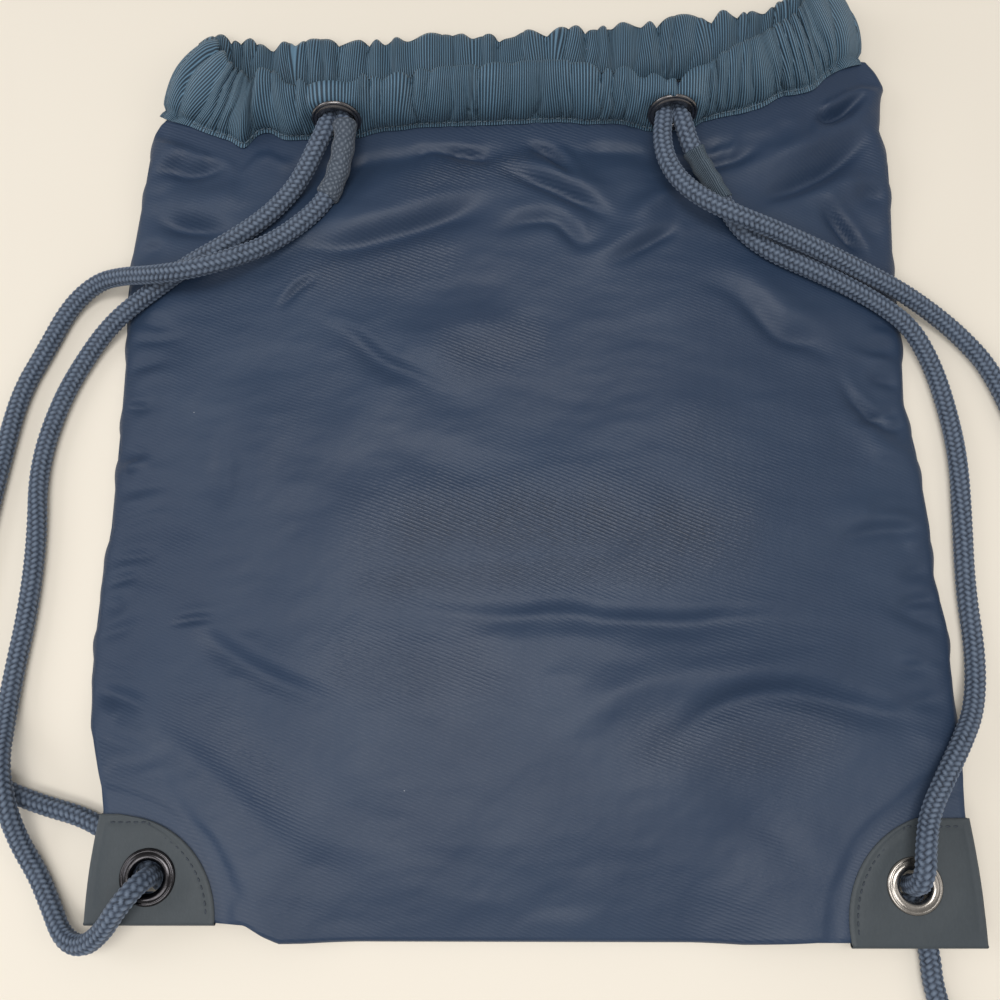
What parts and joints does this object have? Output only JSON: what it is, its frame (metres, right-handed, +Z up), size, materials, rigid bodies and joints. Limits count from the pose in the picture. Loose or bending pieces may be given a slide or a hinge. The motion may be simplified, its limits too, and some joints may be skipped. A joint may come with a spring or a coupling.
{
  "type": "drawstring backpack",
  "caption": "Soft cloth drawstring backpack lying flat, with a gathered channel round its mouth, looped shoulder cords through metal eyelets and reinforced bottom corners.",
  "frame": {"origin": "centre of the bag's outline on the surface it lies on, cords left out", "axes": "+Y from the closed bottom towards the mouth, +X to the right seen from the front, +Z up from the back panel"},
  "size_m": [0.4807, 0.4607, 0.0442],
  "materials": {
    "body_cloth": "satin twill",
    "channel_cloth": "ribbed, slight sheen",
    "corner_leather": "fine grain, semi-matt",
    "eyelet_metal": "polished gunmetal",
    "cord_braid": "braided, matt",
    "splice_tape": "ribbed, stitched"
  },
  "bodies": {
    "bag_base": {"back_panel": "body_cloth", "front_panel_lower": "body_cloth", "back_band": "channel_cloth", "corner_patch_left": "corner_leather", "corner_patch_right": "corner_leather", "eyelet_bottom_left": "eyelet_metal", "washer_bottom_left": "eyelet_metal", "eyelet_bottom_right": "eyelet_metal", "washer_bottom_right": "eyelet_metal", "cord_left_front": "cord_braid", "cord_left_back": "cord_braid", "cord_right_front": "cord_braid", "cord_right_back": "cord_braid", "channel_cord_back_1": "cord_braid", "channel_cord_back_2": "cord_braid"},
    "mouth_front": {"front_panel": "body_cloth", "front_band": "channel_cloth", "eyelet_top_left": "eyelet_metal", "washer_top_left": "eyelet_metal", "eyelet_top_right": "eyelet_metal", "washer_top_right": "eyelet_metal", "cord_left_front_top": "cord_braid", "cord_left_back_top": "cord_braid", "cord_right_front_top": "cord_braid", "cord_right_back_top": "cord_braid", "splice_left": "splice_tape", "splice_right": "splice_tape", "channel_cord_front_1": "cord_braid", "channel_cord_front_2": "cord_braid"}
  },
  "joints": [
    {"name": "mouth_open", "type": "hinge", "parent": "bag_base", "child": "mouth_front", "pos_m": [0, -0.106, 0.0189], "axis": [1, 0, 0], "range_deg": [0, 10]}
  ]
}
